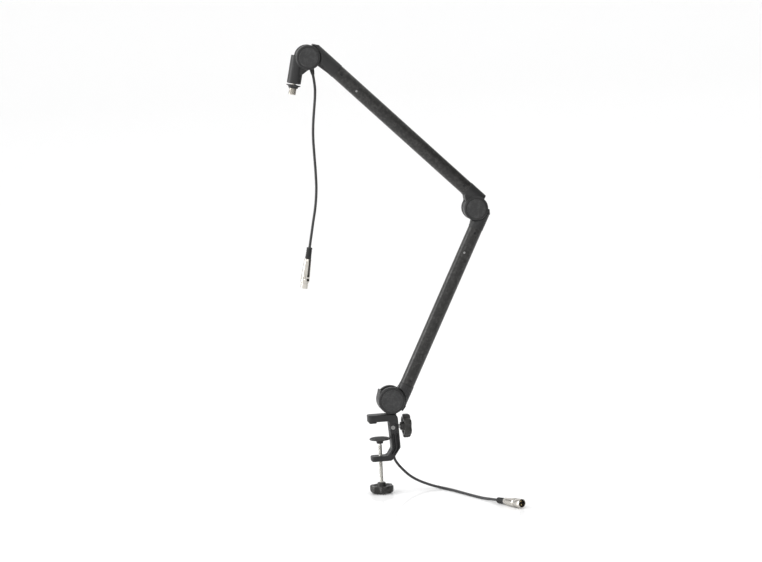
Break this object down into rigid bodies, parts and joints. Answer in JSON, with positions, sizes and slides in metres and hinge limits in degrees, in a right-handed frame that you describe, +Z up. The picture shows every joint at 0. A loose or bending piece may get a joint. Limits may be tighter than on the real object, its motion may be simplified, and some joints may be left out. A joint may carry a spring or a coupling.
{
  "type": "microphone boom arm",
  "caption": "Desk-clamp microphone boom arm: two round tubes on friction pivots, swivel clamp, threaded microphone stud and a built-in balanced lead.",
  "frame": {"origin": "on the clamp screw's axis, in the plane of the upper jaw pad's face, which rests on the desk top", "axes": "+Z up; the arm folds in the XZ plane; the clamp jaws open towards -X; +Y is the side where the lead leaves the clamp"},
  "size_m": [0.4141, 0.3047, 0.9464],
  "materials": {
    "cast_black": "fine textured powder coat over die-cast metal",
    "tube_black": "satin black powder coat over drawn aluminium tube",
    "moulded_black": "fine-grained glass-filled nylon",
    "cover_black": "fine-grained moulded cover",
    "knob_black": "moulded phenolic, slightly worn on the lobes",
    "rubber_black": "matt rubber",
    "lead_black": "extruded flexible PVC jacket",
    "screw_steel": "bright zinc-plated rolled thread",
    "nickel": "satin nickel plate",
    "zinc": "dull zinc-plated fastener",
    "black_steel": "black-oxide countersunk screw",
    "spring_steel": "oiled spring wire",
    "nylon": "natural nylon",
    "insert_black": "moulded insulator",
    "contact": "plated contact"
  },
  "bodies": {
    "clamp": {"clamp_frame": "cast_black", "upper_jaw_pad": "rubber_black", "post_bush": "moulded_black", "retaining_screw": "zinc", "tail_gland": "rubber_black", "clamp_lead": "lead_black", "tail_lead": "lead_black", "tail_plug_boot": "rubber_black", "tail_plug_shell": "nickel", "tail_plug_insert": "insert_black", "tail_plug_pins": "contact"},
    "pressure_pad": {"swivel_pad": "moulded_black", "pad_facing": "rubber_black"},
    "screw": {"clamp_screw": "screw_steel", "screw_knob": "knob_black"},
    "lock_screw": {"lock_stud": "zinc"},
    "lock_grip": {"lock_knob": "knob_black"},
    "swivel": {"base_knuckle": "moulded_black", "swivel_post": "screw_steel", "base_pivot_bolt": "zinc", "base_pivot_nut": "zinc", "base_friction_washers": "nylon", "base_covers": "cover_black"},
    "lower_arm": {"base_bracket": "moulded_black", "base_pivot_bush": "nylon", "lower_tube": "tube_black", "lower_screws": "black_steel", "lower_spring": "spring_steel", "lower_spring_pin": "zinc", "lower_spring_rod": "zinc", "lower_lead": "lead_black", "elbow_bracket": "moulded_black", "elbow_pivot_bush": "nylon"},
    "upper_arm": {"elbow_knuckle": "moulded_black", "elbow_pivot_bolt": "zinc", "elbow_pivot_nut": "zinc", "elbow_friction_washers": "nylon", "elbow_covers": "cover_black", "upper_tube": "tube_black", "upper_screws": "black_steel", "upper_spring": "spring_steel", "upper_spring_pin": "zinc", "upper_spring_rod": "zinc", "upper_lead": "lead_black", "head_bracket": "moulded_black", "head_pivot_bush": "nylon", "head_gland": "rubber_black", "head_lead": "lead_black", "head_plug_boot": "rubber_black", "head_plug_shell": "nickel", "head_plug_insert": "insert_black"},
    "latch": {"head_plug_latch": "nickel"},
    "head": {"head_knuckle": "moulded_black", "head_pivot_bolt": "zinc", "head_pivot_nut": "zinc", "head_friction_washers": "nylon", "head_covers": "cover_black", "mic_stud": "nickel"},
    "stud_washer": {"stud_lock_washer": "cast_black"},
    "stud_nut": {"stud_lock_nut": "cast_black"}
  },
  "joints": [
    {"name": "clamp_travel", "type": "slide", "parent": "clamp", "child": "pressure_pad", "axis": [0, 0, 1], "range_m": [-0.022, 0.03]},
    {"name": "clamp_turn", "type": "hinge", "parent": "pressure_pad", "child": "screw", "pos_m": [0, 0, -0.08], "axis": [0, 0, 1], "range_deg": [-6340, 8645]},
    {"name": "lock_travel", "type": "slide", "parent": "clamp", "child": "lock_screw", "axis": [1, 0, 0], "range_m": [0, 0.00252]},
    {"name": "lock_turn", "type": "hinge", "parent": "lock_screw", "child": "lock_grip", "pos_m": [0.056, 0, -0.0105], "axis": [1, 0, 0], "range_deg": [0, 730]},
    {"name": "base_swivel", "type": "hinge", "parent": "clamp", "child": "swivel", "pos_m": [0.027, 0, 0.02], "axis": [0, 0, 1], "range_deg": [-170, 170]},
    {"name": "base_tilt", "type": "hinge", "parent": "swivel", "child": "lower_arm", "pos_m": [0.027, 0, 0.047], "axis": [0, 1, 0], "range_deg": [-66, 8]},
    {"name": "elbow_fold", "type": "hinge", "parent": "lower_arm", "child": "upper_arm", "pos_m": [0.22199, 0, 0.43809], "axis": [0, 1, 0], "range_deg": [-84, 45]},
    {"name": "head_tilt", "type": "hinge", "parent": "upper_arm", "child": "head", "pos_m": [-0.11538, 0, 0.76962], "axis": [0, 1, 0], "range_deg": [-5, 84]},
    {"name": "stud_nut_travel", "type": "slide", "parent": "head", "child": "stud_washer", "axis": [-0.2079, 0, -0.9781], "range_m": [0, 0.012]},
    {"name": "stud_nut_turn", "type": "hinge", "parent": "stud_washer", "child": "stud_nut", "pos_m": [-0.14748, 0, 0.70999], "axis": [-0.2079, 0, -0.9781], "range_deg": [0, 4600]},
    {"name": "latch_press", "type": "slide", "parent": "upper_arm", "child": "latch", "axis": [0.3755, 0.9223, -0.0916], "range_m": [0, 0.0015], "stiffness_N_per_m": 400, "springref_m": -0.001}
  ],
  "couplings": [
    {"joint": "clamp_turn", "follows": "clamp_travel", "rad_per_m": 5026.5},
    {"joint": "lock_turn", "follows": "lock_travel", "rad_per_m": 5026.5},
    {"joint": "stud_nut_turn", "follows": "stud_nut_travel", "rad_per_m": 6679}
  ]
}
